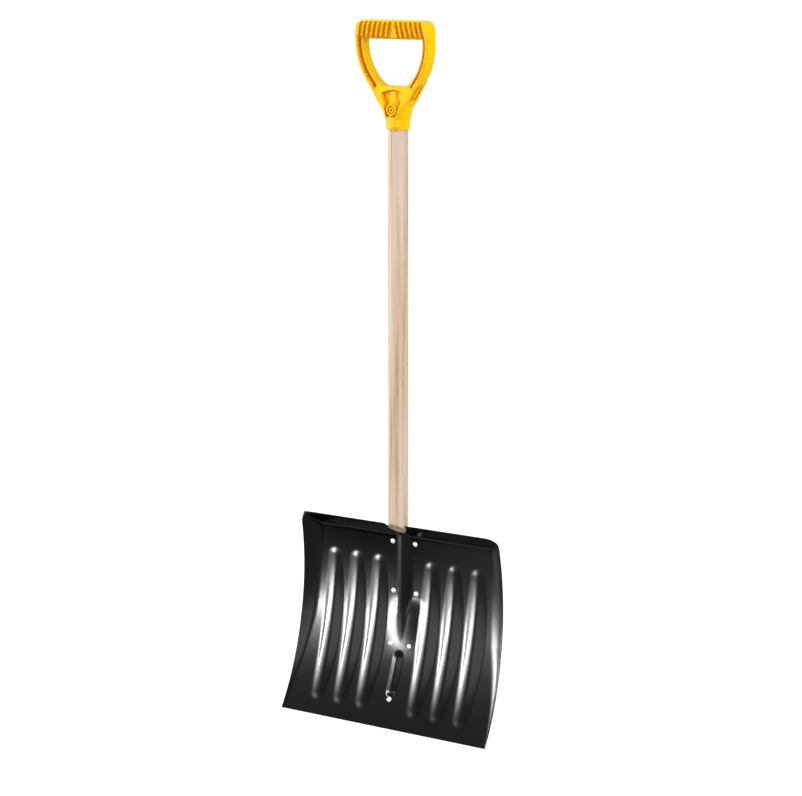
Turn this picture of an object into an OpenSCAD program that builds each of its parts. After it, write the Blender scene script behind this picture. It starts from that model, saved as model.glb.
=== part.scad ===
// Snow shovel: ribbed steel blade, straight wooden handle and moulded D-grip.
// +Z runs up the handle, the scooping face looks along -Y, X is the blade's width.

/* [Blade] */
// width of the blade at its cutting edge
blade_w = 457; // [380:1:610]
// width of the blade at its top
blade_top_w = 440; // [360:1:590]
// height of the blade, from cutting edge to lip
blade_h = 350; // [320:1:400]
// thickness of the pressed sheet
sheet_t = 1.2; // [0.8:0.1:2]
// radius of the blade's fore-and-aft curve
bowl_r = 540; // [480:5:640]
// height of the deepest point of that curve
bowl_z = 258; // [240:1:280]
// how far that deepest point lies behind the handle's axis
bowl_back = 18.6; // [17:0.1:22]
// slope of the turned-up sides, rise over width
flange_slope = 0.8; // [0.5:0.05:1.2]
// height of the lip along the blade's top
lip_h = 22; // [10:1:30]
// lean of the lip, from upright
lip_lean = 50; // [25:1:60]
// radius of the two top corners
corner_r = 22; // [10:1:40]

/* [Ribs] */
// ribs on each side of the blade
ribs_per_side = 3; // [1:1:4]
// distance between neighbouring ribs
rib_pitch = 50.8; // [45:0.1:60]
// distance of the first rib from the middle
rib_first = 58; // [50:1:70]
// height of a rib at its middle
rib_h = 7; // [4:0.5:9]
// rounding radius of a rib's crest
rib_r = 16; // [10:1:20]
// distance of the ribs' upper ends below the blade's top
rib_down = 75; // [50:1:100]
// height of the ribs' lower ends above the cutting edge
rib_bottom = 34; // [30:1:80]

/* [Handle] */
// handle radius where it meets the blade
handle_r = 17.8; // [16:0.1:20]
// handle radius under the grip
handle_top_r = 17; // [15:0.1:18]
// height of the grip's lower rim
collar_z = 1024; // [900:1:1200]

/* [Grip] */
// outer width of the grip at its widest
grip_w = 158; // [130:1:175]
// radius of the arms' outer curve
bulge_r = 103; // [95:1:125]
// radius of the curve that leads each arm down to the socket
neck_r = 900; // [600:50:1500]
// thickness of an arm, from its outer face to the hand opening
arm_t = 14; // [12:0.5:18]
// depth of an arm, front to back
arm_d = 26; // [20:1:28]
// height of the hand bar
bar_h = 32; // [26:1:38]
// depth of the hand bar, front to back
bar_d = 26; // [24:1:32]
// fins on each half of the hand bar
fins = 6; // [4:1:6]
// distance between neighbouring fins
fin_pitch = 10.6; // [9:0.1:11.5]
// lean of the fins, towards the middle at the top
fin_lean = 13; // [0:1:18]

/* [Rivets] */
// radius of a rivet's round head
head_r = 4.7; // [3:0.1:6]
// height of a rivet's round head
head_h = 2.4; // [1.5:0.1:3]
// radius of a rivet's shank
shank_r = 2.5; // [1.5:0.1:3]

/* [Hidden] */
$fn = 96;
// distance of the handle's axis behind the middle of the whole shovel's depth
axis_y = 13.0;
bowl_y = axis_y + bowl_back - bowl_r;
brace_t = 1.5;
gap = 0.1;
// the sides' cone: its axis lies lower than the bowl's, so that the sides fade out at the edge
flange_z = bowl_z - 32;
flange_r = 528;
flange_x = 224;
lip_z = blade_h - lip_h;
lip_y = bowl_y + sqrt(bowl_r * bowl_r - pow(lip_z - bowl_z, 2));
// ribs: a crest arc that is flatter than the bowl, so that each rib fades at its ends
rib_shift = 310;
rib_top = blade_h - rib_down;
rib_a = (asin((rib_top - bowl_z) / bowl_r) + asin((rib_bottom - bowl_z) / bowl_r)) / 2;
rib_half = 8.4;
// pocket that the front of the sheet makes for the handle's tongue
ridge_r = 15.4;
ridge_y = axis_y + 7.9 + ridge_r;
notch_r = 23.5;
notch_z = lip_z + 27.5;
bevel_z = lip_z + 22.5;
tongue_z = lip_z - 153;
screw_z = lip_z - 28;
rivet_x = [25, 25, 21];
rivet_z = [lip_z - 14, lip_z - 101, lip_z - 191];
tip_rivet_z = 46;
// the brace: its top clears the lip's bend, and it narrows past each pair of rivets to the tip
brace_top = lip_z - 3;
brace_half = rivet_x[0] + 13;
brace_low = rivet_x[2] + 10;
brace_tip = 13;
// the handle's stepped end in the socket
socket_z = collar_z + 12;
socket_top = collar_z + 60;
step_r = 13;
step_top_r = 9.5;
fit = 0.15;
// the grip leans forward a little above this height
grip_lean = 3;
lean_z = collar_z + 16;
bar_z = collar_z + 184 - bar_h / 2;
// each arm's outer face is one arc that bulges outwards and then one that leads in to the collar
bulge_x = grip_w / 2 - bulge_r;
bulge_z = collar_z + 146;
bend_z = collar_z + 82;
bend_a = asin((bulge_z - bend_z) / bulge_r);
neck_x = bulge_x + (bulge_r + neck_r) * cos(bend_a);
neck_z = bulge_z - (bulge_r + neck_r) * sin(bend_a);
// the hand opening's lower edge, and the arched recess under it
web_z = collar_z + 73;
neck_half = 25;
arch_z = collar_z + 68;
boss_z = collar_z + 33.5;
boss_r = 10;

steel = [0.05, 0.05, 0.06];
silver = [0.78, 0.78, 0.8];
yellow = [1.0, 0.72, 0.02];
ash = [0.9, 0.8, 0.66];

// ---- shared shapes

// everything in front of the bowl's surface, grown backwards by o
module bowl(o) {
  translate([0, bowl_y, bowl_z]) rotate([0, 90, 0])
    cylinder(h = 520, r = bowl_r + o, center = true, $fn = 720);
}

// everything inside one turned-up side, grown outwards by o
module side(o) {
  grow = o * sqrt(1 + flange_slope * flange_slope);
  translate([0, bowl_y, flange_z]) rotate([0, 90, 0])
    cylinder(h = 520, center = true, $fn = 720,
             r1 = flange_r + (flange_x + 260) * flange_slope + grow,
             r2 = flange_r + (flange_x - 260) * flange_slope + grow);
}

// everything under and in front of the lip, grown outwards by o
module under_lip(o) {
  translate([0, lip_y, lip_z]) rotate([lip_lean, 0, 0])
    translate([-260, -500, -700]) cube([520, 500 + o, 1400]);
}

// the pan: bowl, two sides and lip together
module pan(o) {
  intersection() {
    bowl(o);
    side(o);
    mirror([1, 0, 0]) side(o);
    under_lip(o);
  }
}

// turns a ring drawn about Z into one that lies in the YZ plane, from +Y towards +Z
module upright(x, y, z) {
  translate([x, y, z]) rotate([90, 0, 90]) children();
}

// one long rib's tube; small is how much thinner it is, for the hollow behind it
module rib(x, small) {
  ring = bowl_r - rib_h + rib_shift + rib_r;
  upright(x, bowl_y - rib_shift * cos(rib_a), bowl_z - rib_shift * sin(rib_a))
    rotate([0, 0, rib_a - rib_half]) {
      rotate_extrude(angle = 2 * rib_half, $fn = 720) translate([ring, 0])
        circle(r = rib_r - small, $fn = 64);
      for (a = [0, 2 * rib_half]) rotate([0, 0, a]) translate([ring, 0, 0])
        sphere(r = rib_r - small - 0.05, $fn = 64);
    }
}

// the short rib under the handle's tongue
module short_rib(small) {
  on_bowl(0, 88) translate([0, 0, 4.5 - 12]) rotate([90, 0, 0]) {
    cylinder(h = 56, r = 12 - small, center = true, $fn = 64);
    for (s = [-28, 28]) translate([0, 0, s]) sphere(r = 12 - small, $fn = 64);
  }
}

module ribs(small) {
  for (s = [-1, 1], i = [0:ribs_per_side - 1]) rib(s * (rib_first + i * rib_pitch), small);
  short_rib(small);
  translate([0, ridge_y, 140]) cylinder(h = 260, r = ridge_r - small);
}

// puts its children on the bowl's front face, with their +Z pointing out to the front
module on_bowl(x, z) {
  a = asin((z - bowl_z) / bowl_r);
  translate([x, bowl_y + bowl_r * cos(a), z]) rotate([90 + a, 0, 0]) children();
}

// the blade's outline, seen from the front, as a prism through its whole depth
module outline() {
  hb = blade_w / 2;
  ht = blade_top_w / 2;
  hc = ht + (hb - ht) * corner_r / blade_h;
  translate([0, 60, 0]) rotate([90, 0, 0]) linear_extrude(height = 160) {
    polygon([[-hb, 0], [hb, 0], [hc, blade_h - corner_r], [hc - corner_r, blade_h],
             [corner_r - hc, blade_h], [-hc, blade_h - corner_r]]);
    for (s = [-1, 1]) translate([s * (hc - corner_r), blade_h - corner_r])
      circle(r = corner_r);
  }
}

module rivet_holes() {
  for (s = [-1, 1], i = [0:2]) on_bowl(s * rivet_x[i], rivet_z[i])
    cylinder(h = 12, r = shank_r + gap / 2, center = true);
  on_bowl(0, tip_rivet_z) cylinder(h = 12, r = shank_r + gap / 2, center = true);
}

module rivet(x, z) {
  ball = (head_r * head_r + head_h * head_h) / (2 * head_h);
  stack = sheet_t + brace_t;
  color(silver) on_bowl(x, z) {
    intersection() {
      translate([0, 0, head_h - ball]) sphere(r = ball);
      translate([0, 0, 0.03]) cylinder(h = head_h, r = head_r + 1);
    }
    translate([0, 0, -stack - 0.5]) cylinder(h = stack + 1, r = shank_r);
    translate([0, 0, -stack - 1.6]) cylinder(h = 1.55, r = 4);
  }
}

// ---- the pieces

module blade() {
  color(steel) difference() {
    intersection() {
      outline();
      pan(sheet_t);
    }
    ribs(sheet_t);
    difference() {
      pan(0);
      ribs(0);
    }
    translate([0, 0, notch_z]) rotate([90, 0, 0]) cylinder(h = 200, r = notch_r, center = true);
    rivet_holes();
  }
}

module rear_brace() {
  color(steel) difference() {
    intersection() {
      translate([0, 60, 0]) rotate([90, 0, 0]) linear_extrude(height = 100) {
        polygon(concat([[brace_half, rivet_z[1] - 17], [brace_half, brace_top],
                        [-brace_half, brace_top], [-brace_half, rivet_z[1] - 17],
                        [-brace_low, rivet_z[2] - 12]],
                       [for (a = [190 : 10 : 350])
                         [brace_tip * cos(a), tip_rivet_z - 4 + brace_tip * sin(a)]],
                       [[brace_low, rivet_z[2] - 12]]));
      }
      union() {
        bowl(sheet_t + brace_t);
        translate([0, axis_y, tongue_z - 4]) cylinder(h = 200, r = handle_r + gap + brace_t);
        translate([0, axis_y, tongue_z - 4]) sphere(r = handle_r + gap + brace_t);
      }
    }
    bowl(sheet_t);
    translate([0, axis_y, tongue_z - 4]) cylinder(h = 200, r = handle_r + gap);
    translate([0, axis_y, tongue_z - 4]) sphere(r = handle_r + gap);
    rivet_holes();
    translate([0, axis_y, screw_z]) rotate([-90, 0, 0]) cylinder(h = 40, r = 2.2);
  }
}

module handle_body() {
  translate([0, axis_y, screw_z])
    cylinder(h = socket_z - screw_z, r1 = handle_r, r2 = handle_top_r);
  translate([0, axis_y, socket_z - 1])
    cylinder(h = socket_top - socket_z + 1, r1 = step_r, r2 = step_top_r);
}

module wood_handle() {
  color(ash) difference() {
    union() {
      difference() {
        intersection() {
          handle_body();
          union() {
            translate([-30, -60, notch_z]) cube([60, 120, 900]);
            translate([0, 0, notch_z]) rotate([90, 0, 0])
              cylinder(h = 120, r = notch_r - 0.5, center = true);
          }
        }
        translate([0, axis_y - handle_r, bevel_z]) rotate([-33.5, 0, 0])
          translate([-30, -60, -100]) cube([60, 200, 100]);
      }
      intersection() {
        translate([0, axis_y, tongue_z]) cylinder(h = 165, r = handle_r);
        translate([0, ridge_y, tongue_z]) cylinder(h = 165, r = ridge_r - sheet_t - gap);
      }
    }
    translate([0, axis_y, screw_z]) rotate([-90, 0, 0]) cylinder(h = 40, r = 1.9);
    translate([0, axis_y, boss_z]) rotate([90, 0, 0]) cylinder(h = 30, r = 1.9);
  }
}

// ---- grip

// turns a flat shape, drawn with its Y as height, to face the front
module facing(depth) {
  translate([0, axis_y, 0]) rotate([90, 0, 0]) linear_extrude(height = depth, center = true)
    children();
}

module rounded(w, h, r) {
  square([w - 2 * r, h], center = true);
  square([w, h - 2 * r], center = true);
  for (sx = [-1, 1], sy = [-1, 1]) translate([sx * (w / 2 - r), sy * (h / 2 - r)])
    circle(r = r, $fn = 32);
}

// what lies inside both arms' curves, whose outer faces are moved in by t
module between_arms(t) {
  intersection() {
    translate([bulge_x, bulge_z]) circle(r = bulge_r - t, $fn = 240);
    translate([-bulge_x, bulge_z]) circle(r = bulge_r - t, $fn = 240);
  }
}

// one arm: an outer band and a thinner inner one, joined by a web, swept round the bulge
module arm() {
  ro = bulge_r - 0.2;
  ri = bulge_r - arm_t;
  h = arm_d / 2;
  band = 4.5;
  lip = 2.8;
  translate([bulge_x, axis_y, bulge_z]) rotate([90, 0, 0]) rotate([0, 0, -bend_a - 8])
    rotate_extrude(angle = bend_a + 19.6, $fn = 240)
      polygon([[ro, 3 - h], [ro, h - 1.5], [ro - 1.5, h], [ro - band, h], [ro - band, 4],
               [ri + lip, 4], [ri + lip, h - 4], [ri + 1, h - 4], [ri, h - 5], [ri, 5 - h],
               [ri + 1, 4 - h], [ri + lip, 4 - h], [ri + lip, -4], [ro - band, -4],
               [ro - band, -h], [ro - 3, -h]]);
}

// the hand bar with its finned pockets, front and back
module hand_bar() {
  difference() {
    intersection() {
      translate([0, axis_y, bar_z]) rotate([90, 0, 90])
        linear_extrude(height = grip_w + 20, center = true) rounded(bar_d, bar_h, 10);
      facing(bar_d + 10) intersection() {
        between_arms(0);
        translate([0, bar_z - 10]) rounded(grip_w + 1, bar_h + 20, 18);
      }
    }
    for (s = [-1, 1]) difference() {
      translate([0, s * bar_d / 2, 0]) intersection() {
        facing(10) between_arms(6.5);
        facing(10) translate([0, bar_z]) square([grip_w, bar_h - 5], center = true);
      }
      for (m = [-1, 1], i = [0 : fins - 1]) fin(m * (9 + i * fin_pitch), m * fin_lean);
    }
  }
}

module fin(x, lean) {
  translate([x, axis_y, bar_z]) rotate([0, -lean, 0])
    cube([2.4, bar_d + 12, bar_h + 12], center = true);
}

// the body under the hand opening, which narrows to the collar and grows as deep as it
module neck() {
  difference() {
    facing(50) {
      difference() {
        translate([-70, collar_z + 20]) square([140, bend_z - collar_z - 20]);
        for (m = [-1, 1]) translate([m * neck_x, neck_z]) circle(r = neck_r, $fn = 720);
        intersection() {
          between_arms(arm_t + 0.2);
          polygon([[-24, web_z], [24, web_z], [70, web_z + 27], [70, web_z + 60],
                   [-70, web_z + 60], [-70, web_z + 27]]);
        }
      }
      translate([-neck_half, collar_z + 20]) square([2 * neck_half, 23]);
    }
    for (m = [-1, 1]) translate([0, axis_y + m * (arm_d / 2 + 0.2 + 180), collar_z + 76])
      rotate([0, 90, 0]) cylinder(h = 200, r = 180, center = true, $fn = 360);
    rim();
    translate([0, axis_y, web_z + 0.6]) rotate([90, 0, 0]) cylinder(h = 60, r = 2.4, center = true);
  }
}

// slopes the front and back down to the opening's rim, inside the arms' outer bands
module rim() {
  intersection() {
    translate([0, axis_y, web_z]) rotate([90, 0, 90])
      linear_extrude(height = 160, center = true)
        for (m = [-1, 1]) polygon([[m * (arm_d / 2 - 4), 30], [m * (arm_d / 2 - 4), 1],
                                   [m * (arm_d / 2 + 0.9), -10.4], [m * 40, -10.4], [m * 40, 30]]);
    facing(90) difference() {
      translate([-70, web_z - 20]) square([140, 60]);
      for (m = [-1, 1]) translate([m * neck_x, neck_z]) circle(r = neck_r + 4.5, $fn = 720);
    }
  }
}

// rounds the neck's corners off where it meets the collar
module neck_cone() {
  translate([0, axis_y, collar_z]) rotate_extrude()
    polygon([[0, 19], [21.1, 19], [26.2, 35], [31, 44], [60, 62], [60, 100], [0, 100]]);
}

// the arm's hollow, going on down the front and back of the neck
module channel() {
  a = 180 - bend_a - 0.3;
  for (m = [0, 1], n = [0, 1]) mirror([m, 0, 0]) translate([neck_x, axis_y, neck_z])
    rotate([90, 0, 0]) rotate([0, 0, a]) rotate_extrude(angle = 1.55, $fn = 1440)
      translate([neck_r + 4.7, n == 0 ? 4 : -34]) square([6.5, 30]);
}

// the long pocket in each arm's outer face, with a rib left along its middle
module side_pocket() {
  for (m = [0, 1]) mirror([m, 0, 0]) translate([neck_x, axis_y, neck_z])
    rotate([90, 0, 0]) rotate([0, 0, 180 - bend_a + 0.5]) rotate_extrude(angle = 2.1, $fn = 1440)
      for (n = [-1, 1]) translate([neck_r - 3, n * 5 - 3.6]) square([5, 7.2]);
}

module recess() {
  for (m = [-1, 1]) translate([0, m * 22, 0]) facing(30) intersection() {
    union() {
      polygon([[-8, collar_z + 17], [8, collar_z + 17], [27, collar_z + 69], [-27, collar_z + 69]]);
      translate([0, collar_z + 17]) circle(r = 8);
    }
    translate([0, arch_z - 50]) circle(r = 50, $fn = 240);
  }
}

// collar and tapered socket, still solid
module socket_wall() {
  translate([0, axis_y, collar_z]) rotate_extrude()
    polygon([[0, 0], [18.7, 0], [20.3, 5], [21, 22], [16.4, 23], [12.2, 66], [0, 66]]);
}

// the hole in them, which takes the handle's stepped end
module socket_bore() {
  step = socket_z - collar_z;
  top = socket_top - collar_z;
  translate([0, axis_y, collar_z]) rotate_extrude()
    polygon([[0, -1], [handle_top_r + fit, -1], [handle_top_r + fit, step + 0.2],
             [step_r + fit, step + 0.2], [step_top_r + fit, top + 0.3], [0, top + 0.3]]);
}

module leaned() {
  translate([0, axis_y, lean_z]) rotate([grip_lean, 0, 0]) translate([0, -axis_y, -lean_z])
    children();
}

module d_grip() {
  color(yellow) difference() {
    union() {
      leaned() {
        hand_bar();
        arm();
        mirror([1, 0, 0]) arm();
        difference() {
          intersection() {
            neck();
            neck_cone();
          }
          recess();
          channel();
          side_pocket();
        }
      }
      socket_wall();
      translate([0, axis_y, boss_z]) rotate([90, 0, 0]) cylinder(h = 19, r = boss_r);
    }
    socket_bore();
    translate([0, axis_y - 16, boss_z]) rotate([90, 0, 0]) difference() {
      cylinder(h = 10, r = boss_r - 2.6);
      cylinder(h = 2, r = boss_r - 5.2);
    }
    translate([0, axis_y - 14, boss_z]) rotate([90, 0, 0]) cylinder(h = 10, r = 2.4);
    translate([0, axis_y, boss_z]) rotate([90, 0, 0]) cylinder(h = 30, r = 2.1);
  }
}

// a wood screw with a pan head, pointing along -Z from z = 0
module screw(len, r, hr, hh) {
  translate([0, 0, -0.01]) cylinder(h = hh, r1 = hr, r2 = hr - 0.6);
  translate([0, 0, -len]) cylinder(h = len, r = r);
  translate([0, 0, -len - 2]) cylinder(h = 2, r1 = 0.3, r2 = r);
}

module grip_screw() {
  color(silver) translate([0, axis_y - 14, boss_z]) rotate([90, 0, 0])
    screw(16, 1.9, 2.3, 1.2);
}

module handle_screw() {
  color(silver) translate([0, axis_y + handle_r + gap + brace_t - 0.1, screw_z]) rotate([-90, 0, 0])
    screw(6, 1.9, 4, 2);
}

module rivet_upper_left() { rivet(-rivet_x[0], rivet_z[0]); }
module rivet_upper_right() { rivet(rivet_x[0], rivet_z[0]); }
module rivet_middle_left() { rivet(-rivet_x[1], rivet_z[1]); }
module rivet_middle_right() { rivet(rivet_x[1], rivet_z[1]); }
module rivet_lower_left() { rivet(-rivet_x[2], rivet_z[2]); }
module rivet_lower_right() { rivet(rivet_x[2], rivet_z[2]); }
module rivet_tip() { rivet(0, tip_rivet_z); }

blade();
rear_brace();
wood_handle();
d_grip();
grip_screw();
handle_screw();
rivet_upper_left();
rivet_upper_right();
rivet_middle_left();
rivet_middle_right();
rivet_lower_left();
rivet_lower_right();
rivet_tip();
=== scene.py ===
import math

import bmesh
import bpy
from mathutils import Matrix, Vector


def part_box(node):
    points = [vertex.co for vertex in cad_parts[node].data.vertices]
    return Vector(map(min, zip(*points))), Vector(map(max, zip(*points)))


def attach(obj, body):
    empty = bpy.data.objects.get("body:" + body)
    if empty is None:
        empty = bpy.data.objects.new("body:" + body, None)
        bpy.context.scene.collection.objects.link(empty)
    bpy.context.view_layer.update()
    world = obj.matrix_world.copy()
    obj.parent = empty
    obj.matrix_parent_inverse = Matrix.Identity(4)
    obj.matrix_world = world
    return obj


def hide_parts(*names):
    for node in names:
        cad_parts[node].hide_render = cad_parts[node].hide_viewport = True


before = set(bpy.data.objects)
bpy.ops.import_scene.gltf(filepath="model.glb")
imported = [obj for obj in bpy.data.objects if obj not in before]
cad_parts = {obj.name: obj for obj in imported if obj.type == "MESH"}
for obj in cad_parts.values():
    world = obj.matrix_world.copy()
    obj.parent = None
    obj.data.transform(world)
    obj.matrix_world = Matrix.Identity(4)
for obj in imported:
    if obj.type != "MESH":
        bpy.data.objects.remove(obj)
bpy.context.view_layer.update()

# ---- blade: one sheet of steel pressed in a die, with its ribs, sides and lip, and dipped in
# gloss black paint. The paint is thick enough to round the sheet's edges and has a faint ripple.

# the specular level is below that of real gloss paint, so that the white room doesn't grey it
black_paint = bpy.data.materials.new("gloss black paint")
black_paint.use_nodes = True
paint_tree = black_paint.node_tree
paint = paint_tree.nodes["Principled BSDF"]
paint.inputs["Base Color"].default_value = (0.0008, 0.0008, 0.0011, 1)
paint.inputs["Specular IOR Level"].default_value = 0.1
where = paint_tree.nodes.new("ShaderNodeTexCoord")
ripple = paint_tree.nodes.new("ShaderNodeTexNoise")
ripple.inputs["Scale"].default_value = 14
ripple.inputs["Detail"].default_value = 3
ripple_bump = paint_tree.nodes.new("ShaderNodeBump")
ripple_bump.inputs["Strength"].default_value = 0.12
ripple_bump.inputs["Distance"].default_value = 0.002
paint_tree.links.new(where.outputs["Object"], ripple.inputs["Vector"])
paint_tree.links.new(ripple.outputs["Fac"], ripple_bump.inputs["Height"])
paint_tree.links.new(ripple_bump.outputs["Normal"], paint.inputs["Normal"])

# the paint is a little duller towards the right edge
place_in_paint = paint_tree.nodes.new("ShaderNodeSeparateXYZ")
duller = paint_tree.nodes.new("ShaderNodeMapRange")
duller.inputs["From Min"].default_value = 0.10
duller.inputs["From Max"].default_value = 0.22
duller.inputs["To Min"].default_value = 0.2
duller.inputs["To Max"].default_value = 0.24
paint_tree.links.new(where.outputs["Object"], place_in_paint.inputs["Vector"])
paint_tree.links.new(place_in_paint.outputs["X"], duller.inputs["Value"])
paint_tree.links.new(duller.outputs["Result"], paint.inputs["Roughness"])

# outline: the sides close in towards the top, the top corners are round, and so is the notch
sheet = 0.0012
blade_low, blade_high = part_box("blade")
axis_y = sum(corner.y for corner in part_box("wood_handle")) / 2
width, height = blade_high.x - blade_low.x, blade_high.z
top_half, corner_r = 0.220, 0.022

# bowl: a cylinder that lies across, whose deepest point is bowl_back behind the handle's axis
bowl_r, bowl_z, bowl_back = 0.540, 0.258, 0.0186
bowl_y = axis_y + bowl_back - bowl_r

# lip: a plane that leans forward from a bend along the top
lip_h, lip_bend = 0.022, 0.006
lip_z, lip_slope = height - lip_h, math.tan(math.radians(50))
lip_y = bowl_y + math.sqrt(bowl_r ** 2 - (lip_z - bowl_z) ** 2)
notch_r, notch_half, notch_z = 0.0235, 0.0222, lip_z + 0.0275

# sides: they turn forward, at a bend that is sharp at the cutting edge and softer above it
side_r, side_x, side_slope, side_drop = 0.528, 0.224, 0.8, 0.032
sharp_bend, soft_bend, soft_from = 0.0003, 0.016, 0.16

# long ribs: bent tubes with a ball at each end, whose crests stand rib_out in front of the bowl.
# A tube turns round a hub that lies hub_ahead in front of the bowl's own, so it is flatter than
# the bowl and its ends run into the sheet.
rib_places, rib_r, rib_out, rib_bend = (0.058, 0.1088, 0.1596), 0.034, 0.0058, 0.0035
rib_top, rib_bottom = height - 0.075, 0.034
hub_ahead, rib_turn = 0.250, math.radians(8.95)
rib_lean = (math.asin((rib_top - bowl_z) / bowl_r) + math.asin((rib_bottom - bowl_z) / bowl_r)) / 2
rib_ring = bowl_r - rib_out + hub_ahead + rib_r
hub_y = bowl_y - hub_ahead * math.cos(rib_lean)
hub_z = bowl_z - hub_ahead * math.sin(rib_lean)

# ridge over the tongue, the saddle round its lower end, and the short rib under it
ridge_r, ridge_back, ridge_from, ridge_bend = 0.0154, 0.0233, 0.14, 0.004
saddle_x, saddle_half, saddle_out = 0.010, 0.048, 0.0042
saddle_top, top_fade = 0.222, 0.035
saddle_bottom, bottom_fade = 0.112, 0.075
short_r, short_z, short_half, short_back, short_bend = 0.012, 0.088, 0.028, 0.0075, 0.002


def melt(a, b, soft):
    """The nearer of two pressed surfaces, with the bend between them rounded."""
    mix = min(max(0.5 + 0.5 * (b - a) / soft, 0), 1)
    return b + (a - b) * mix - soft * mix * (1 - mix)


def long_rib(offset, z):
    """How far back a long rib's front lies, offset from its middle line, or None off the rib."""
    if abs(offset) >= rib_r:
        return None
    reach = rib_ring - math.sqrt(rib_r ** 2 - offset ** 2)
    y = hub_y + math.sqrt(reach ** 2 - (z - hub_z) ** 2)
    turn = math.atan2(z - hub_z, y - hub_y) - rib_lean
    if abs(turn) <= rib_turn:
        return y
    end = rib_lean + math.copysign(rib_turn, turn)
    ball_z = hub_z + rib_ring * math.sin(end)
    left_over = rib_r ** 2 - offset ** 2 - (z - ball_z) ** 2
    if left_over <= 0:
        return None
    return hub_y + rib_ring * math.cos(end) - math.sqrt(left_over)


def pressed(x, z):
    """How far back the sheet's front face lies."""
    bowl = bowl_y + math.sqrt(bowl_r ** 2 - (z - bowl_z) ** 2)
    side_here = side_r + (side_x - abs(x)) * side_slope
    side_bend = sharp_bend + soft_bend * min(z / soft_from, 1)
    side = bowl_y + math.sqrt(side_here ** 2 - (z - bowl_z + side_drop) ** 2)
    y = melt(bowl, side, side_bend)
    for rib in rib_places:
        front = long_rib(abs(x) - rib, z)
        if front is not None:
            y = melt(y, front, rib_bend)
    across = max(0, 1 - ((x - saddle_x) / saddle_half) ** 2)
    fade_up = max((saddle_top - z) / top_fade, 0)
    fade_down = max((z - saddle_bottom) / bottom_fade, 0)
    along = min(fade_up, fade_down, 1)
    y -= saddle_out * across ** 2 * along * along * (3 - 2 * along)
    if abs(x) < ridge_r and z > ridge_from:
        y = melt(y, axis_y + ridge_back - math.sqrt(ridge_r ** 2 - x ** 2), ridge_bend)
    past = max(abs(z - short_z) - short_half, 0)
    if x ** 2 + past ** 2 < short_r ** 2:
        middle = bowl + short_back
        y = melt(y, middle - math.sqrt(short_r ** 2 - x ** 2 - past ** 2), short_bend)
    return melt(y, lip_y - (z - lip_z) * lip_slope, lip_bend)


pan = bmesh.new()
bmesh.ops.create_grid(pan, x_segments=240, y_segments=150, size=1)
for spot in pan.verts:
    z = (spot.co.y + 1) / 2 * height
    half = width / 2 - (width / 2 - top_half) * z / height
    into_corner = max(z - height + corner_r, 0)
    half -= corner_r - math.sqrt(corner_r ** 2 - into_corner ** 2)
    x = spot.co.x * half
    if abs(x) < notch_half:
        z *= (notch_z - math.sqrt(notch_r ** 2 - x ** 2)) / height
    spot.co = (x, pressed(x, z), z)
bmesh.ops.recalc_face_normals(pan, faces=pan.faces)
bmesh.ops.solidify(pan, geom=pan.faces, thickness=sheet)
for spot in pan.verts:
    spot.co.x = min(max(spot.co.x, -width / 2), width / 2)
    spot.co.z = min(max(spot.co.z, 0), height)
blade = bpy.data.objects.new("pressed_blade", bpy.data.meshes.new("pressed_blade"))
pan.to_mesh(blade.data)
pan.free()
blade.data.shade_smooth()
blade.data.set_sharp_from_angle(angle=math.radians(50))
blade.data.materials.append(black_paint)
bpy.context.scene.collection.objects.link(blade)
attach(blade, "root")
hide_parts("blade")

# ---- rear brace: a second pressing that is riveted behind the sheet and holds the handle's tongue
# in its channel. It has the same paint.


def painted_copy(node, finish, sharp):
    """The CAD piece with its loose triangles joined, and its faces shaded round."""
    piece = bpy.data.objects.new(node + "_finished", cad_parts[node].data.copy())
    bpy.context.scene.collection.objects.link(piece)
    body = bmesh.new()
    body.from_mesh(piece.data)
    bmesh.ops.remove_doubles(body, verts=body.verts, dist=0.00001)
    body.to_mesh(piece.data)
    body.free()
    piece.data.shade_smooth()
    piece.data.set_sharp_from_angle(angle=math.radians(sharp))
    piece.data.materials.clear()
    piece.data.materials.append(finish)
    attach(piece, "root")
    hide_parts(node)
    return piece


rear_brace = painted_copy("rear_brace", black_paint, 28)

# ---- handle: straight-grained wood turned to a round pole, with a clear satin coat. Its foot is
# bevelled at the front and goes on as a thin tongue between the blade and the brace behind it.

wood = bpy.data.materials.new("pale straight-grained wood")
wood.use_nodes = True
wood_tree = wood.node_tree
wood_face = wood_tree.nodes["Principled BSDF"]
wood_face.inputs["Roughness"].default_value = 0.55
wood_face.inputs["Specular IOR Level"].default_value = 0.05
in_wood = wood_tree.nodes.new("ShaderNodeTexCoord")
grain = wood_tree.nodes.new("ShaderNodeMapping")
grain.inputs["Scale"].default_value = (150, 150, 2.6)
streaks = wood_tree.nodes.new("ShaderNodeTexNoise")
streaks.inputs["Scale"].default_value = 1.0
streaks.inputs["Detail"].default_value = 5
streaks.inputs["Roughness"].default_value = 0.6
tones = wood_tree.nodes.new("ShaderNodeValToRGB")
tones.color_ramp.elements[0].position = 0.35
tones.color_ramp.elements[0].color = (0.50, 0.32, 0.19, 1)
tones.color_ramp.elements[1].position = 0.62
tones.color_ramp.elements[1].color = (0.76, 0.64, 0.52, 1)
middle_tone = tones.color_ramp.elements.new(0.46)
middle_tone.color = (0.70, 0.54, 0.40, 1)
wood_tree.links.new(in_wood.outputs["Object"], grain.inputs["Vector"])
wood_tree.links.new(grain.outputs["Vector"], streaks.inputs["Vector"])
wood_tree.links.new(streaks.outputs["Fac"], tones.inputs["Fac"])
wood_tree.links.new(tones.outputs["Color"], wood_face.inputs["Base Color"])
worn_edges = wood_tree.nodes.new("ShaderNodeBevel")
worn_edges.samples = 6
worn_edges.inputs["Radius"].default_value = 0.005
wood_tree.links.new(worn_edges.outputs["Normal"], wood_face.inputs["Normal"])
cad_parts["wood_handle"].data.materials.clear()
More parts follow.
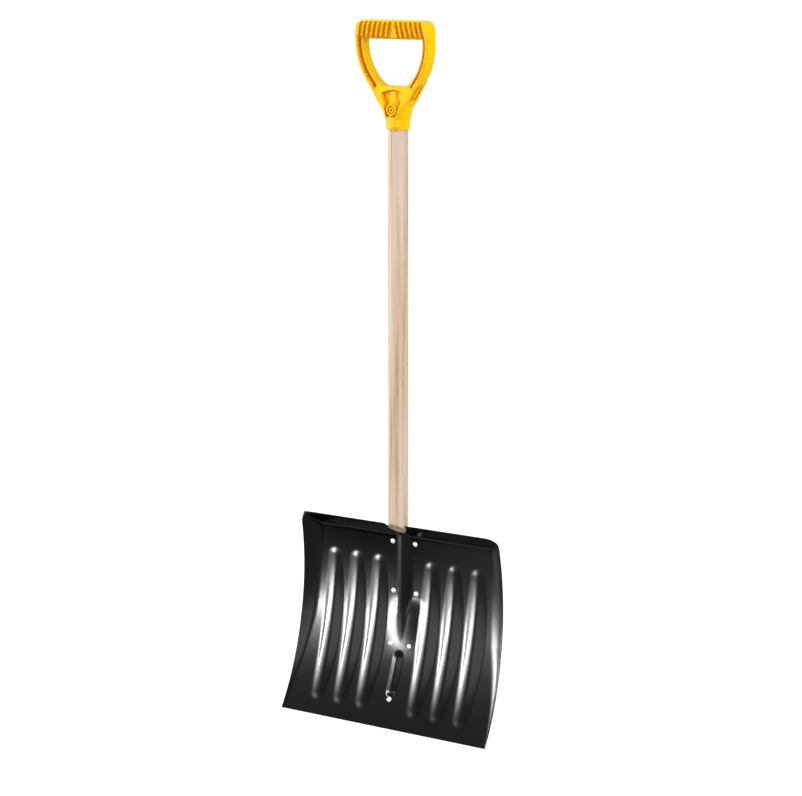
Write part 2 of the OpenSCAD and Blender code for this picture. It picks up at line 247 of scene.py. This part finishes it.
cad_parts["wood_handle"].data.materials.append(wood)

# ---- grip: one moulding in yellow plastic, with a hollow hand bar that is ribbed front and back,
# two arms, a recessed web and the socket that takes the handle's end. Shade is painted into its
# hollows: an ambient-occlusion mask turns the yellow a deeper orange there.

yellow = bpy.data.materials.new("yellow moulded plastic")
yellow.use_nodes = True
plastic = yellow.node_tree.nodes["Principled BSDF"]
plastic.inputs["Roughness"].default_value = 0.36
plastic.inputs["Specular IOR Level"].default_value = 0.06
# painted shade: ambient occlusion colours the plastic's hollows and recesses a deeper orange
painted_hollow_shade = yellow.node_tree.nodes.new("ShaderNodeAmbientOcclusion")
painted_hollow_shade.samples = 8
painted_hollow_shade.inputs["Distance"].default_value = 0.008
# the orange is painted shade for the hollows, and the yellow is the plastic's own colour
painted_shade_colours = yellow.node_tree.nodes.new("ShaderNodeValToRGB")
painted_shade_colours.color_ramp.elements[0].position = 0.25
painted_shade_colours.color_ramp.elements[0].color = (0.86, 0.30, 0.0, 1)
painted_shade_colours.color_ramp.elements[1].position = 0.9
painted_shade_colours.color_ramp.elements[1].color = (1.0, 0.60, 0.002, 1)
yellow.node_tree.links.new(painted_hollow_shade.outputs["AO"], painted_shade_colours.inputs["Fac"])
yellow.node_tree.links.new(painted_shade_colours.outputs["Color"], plastic.inputs["Base Color"])
soft_edges = yellow.node_tree.nodes.new("ShaderNodeBevel")
soft_edges.samples = 6
soft_edges.inputs["Radius"].default_value = 0.0008
yellow.node_tree.links.new(soft_edges.outputs["Normal"], plastic.inputs["Normal"])
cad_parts["d_grip"].data.materials.clear()
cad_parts["d_grip"].data.materials.append(yellow)

# ---- rivets and screws: seven round-headed rivets are set cold through sheet and brace, and one
# screw each holds the tongue and the grip. All are bright zinc-plated steel.

zinc = bpy.data.materials.new("bright zinc")
zinc.use_nodes = True
plating = zinc.node_tree.nodes["Principled BSDF"]
plating.inputs["Base Color"].default_value = (0.86, 0.86, 0.88, 1)
plating.inputs["Metallic"].default_value = 0.35
plating.inputs["Roughness"].default_value = 0.3
for name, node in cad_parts.items():
    if name.startswith("rivet") or name.endswith("screw"):
        node.data.materials.clear()
        node.data.materials.append(zinc)

# ---- studio: a pale floor that runs out of view, a white room behind, soft lamps and black cards.
# The camera, glossy and clear surfaces see floor and room white. The light that falls on things
# is weaker, so that the floor keeps the shadow.


def shows_background(tree):
    """1 for what the camera, a glossy or a clear surface sees, 0 for light that falls on things."""
    ray = tree.nodes.new("ShaderNodeLightPath")
    gloss_too = tree.nodes.new("ShaderNodeMath")
    gloss_too.operation = "ADD"
    clear_too = tree.nodes.new("ShaderNodeMath")
    clear_too.operation = "ADD"
    clear_too.use_clamp = True
    tree.links.new(ray.outputs["Is Camera Ray"], gloss_too.inputs[0])
    tree.links.new(ray.outputs["Is Glossy Ray"], gloss_too.inputs[1])
    tree.links.new(gloss_too.outputs[0], clear_too.inputs[0])
    tree.links.new(ray.outputs["Is Transmission Ray"], clear_too.inputs[1])
    return clear_too.outputs[0]


floor_paper = bpy.data.materials.new("pale studio floor")
floor_paper.use_nodes = True
paper_tree = floor_paper.node_tree
paper = paper_tree.nodes["Principled BSDF"]
paper.inputs["Base Color"].default_value = (0.4, 0.4, 0.4, 1)
paper.inputs["Roughness"].default_value = 0.9
paper.inputs["Specular IOR Level"].default_value = 0.0
glow = paper_tree.nodes.new("ShaderNodeEmission")
lift = paper_tree.nodes.new("ShaderNodeMath")
lift.operation = "MULTIPLY"
lift.inputs[1].default_value = 0.78
both = paper_tree.nodes.new("ShaderNodeAddShader")
paper_tree.links.new(shows_background(paper_tree), lift.inputs[0])
paper_tree.links.new(lift.outputs[0], glow.inputs["Strength"])
paper_tree.links.new(paper.outputs[0], both.inputs[0])
paper_tree.links.new(glow.outputs[0], both.inputs[1])
paper_tree.links.new(both.outputs[0], paper_tree.nodes["Material Output"].inputs["Surface"])

floor_mesh = bmesh.new()
bmesh.ops.create_grid(floor_mesh, x_segments=1, y_segments=1, size=80)
floor = bpy.data.objects.new("floor", bpy.data.meshes.new("floor"))
floor_mesh.to_mesh(floor.data)
floor_mesh.free()
floor.data.materials.append(floor_paper)
bpy.context.scene.collection.objects.link(floor)

sky = bpy.data.worlds.new("white room")
bpy.context.scene.world = sky
sky.use_nodes = True
sky_tree = sky.node_tree
room = sky_tree.nodes["Background"]
room.inputs["Color"].default_value = (1, 1, 1, 1)
level = sky_tree.nodes.new("ShaderNodeMapRange")
level.inputs["To Min"].default_value = 0.62
level.inputs["To Max"].default_value = 1.0
sky_tree.links.new(shows_background(sky_tree), level.inputs["Value"])
sky_tree.links.new(level.outputs["Result"], room.inputs["Strength"])


def soft_lamp(name, heading, distance, low, high, width, radiance, seen_by):
    """An upright soft box, from low to high, that faces the handle's line. Heading 0 is straight
    in front and 90 is at +X. Only glossy surfaces see a "gloss" lamp, and only matt ones a "matt".
    """
    turn = math.radians(heading)
    centre = Vector((math.sin(turn), -math.cos(turn), 0)) * distance
    centre.z = (low + high) / 2
    data = bpy.data.lights.new(name, "AREA")
    data.shape = "RECTANGLE"
    data.size = width
    data.size_y = high - low
    data.energy = radiance * math.pi * width * (high - low)
    lamp = bpy.data.objects.new(name, data)
    lamp.location = centre
    aim = Vector((0, 0, centre.z)) - centre
    lamp.rotation_euler = aim.to_track_quat("-Z", "Y").to_euler()
    lamp.visible_diffuse = seen_by != "gloss"
    lamp.visible_glossy = seen_by != "matt"
    bpy.context.scene.collection.objects.link(lamp)


# the left box is what the ribs' crests reflect, and the front box what their right sides reflect
soft_lamp("left box", -58, 2.6, 0.14, 0.25, 1.7, 290, "gloss")
soft_lamp("left low glow", -58, 2.6, 0.04, 0.14, 1.7, 16, "gloss")
soft_lamp("left high glow", -58, 2.6, 0.25, 0.6, 1.7, 12, "gloss")
soft_lamp("front box", 14, 4.0, 0.2, 1.3, 5.4, 8.0, "gloss")
soft_lamp("high box", 62, 3.5, 2.2, 3.6, 2.0, 23.0, "gloss")
soft_lamp("matt key", -50, 4.0, 2.0, 5.0, 3.0, 8.0, "matt")
soft_lamp("matt fill", 85, 5.0, 0.6, 3.4, 3.0, 6.0, "matt")

# black cards, which only a glossy surface sees: one lies in front on the left and darkens the left
# half of the blade, and one stands at each side, for views from the sides
card_black = bpy.data.materials.new("black card")
card_black.use_nodes = True
card_face = card_black.node_tree.nodes["Principled BSDF"]
card_face.inputs["Base Color"].default_value = (0, 0, 0, 1)
card_face.inputs["Specular IOR Level"].default_value = 0.0


def black_card(name, place, tilt, heading, across, along):
    """A flat card at a place, lying at tilt 0 and standing at tilt 90."""
    card_mesh = bmesh.new()
    bmesh.ops.create_grid(card_mesh, x_segments=1, y_segments=1, size=0.5)
    card = bpy.data.objects.new(name, bpy.data.meshes.new(name))
    card_mesh.to_mesh(card.data)
    card_mesh.free()
    card.data.materials.append(card_black)
    card.scale = (across, along, 1.0)
    card.rotation_euler = (math.radians(tilt), 0, math.radians(heading))
    card.location = place
    card.visible_camera = card.visible_diffuse = card.visible_shadow = False
    bpy.context.scene.collection.objects.link(card)


black_card("lying black card", (-0.718, -0.638, 0.002), 0, -40, 0.27, 1.3)
black_card("left standing card", (-2.55, 1.03, 1.3), 90, -112, 2.9, 2.6)
black_card("right standing card", (3.0, 1.1, 1.3), 90, 110, 4.5, 2.6)

# ---- camera: a long lens, to the right of the front and a little above the grip, that looks
# slightly down

camera = bpy.data.objects.new("camera", bpy.data.cameras.new("camera"))
camera.data.sensor_width = 36
camera.data.lens = 143.55
camera.data.clip_end = 100
camera.location = (3.4709, -4.1159, 1.3513)
camera.rotation_euler = (math.radians(81.73), 0, math.radians(40))
bpy.context.scene.collection.objects.link(camera)
bpy.context.scene.camera = camera
bpy.context.scene.view_settings.view_transform = "Standard"
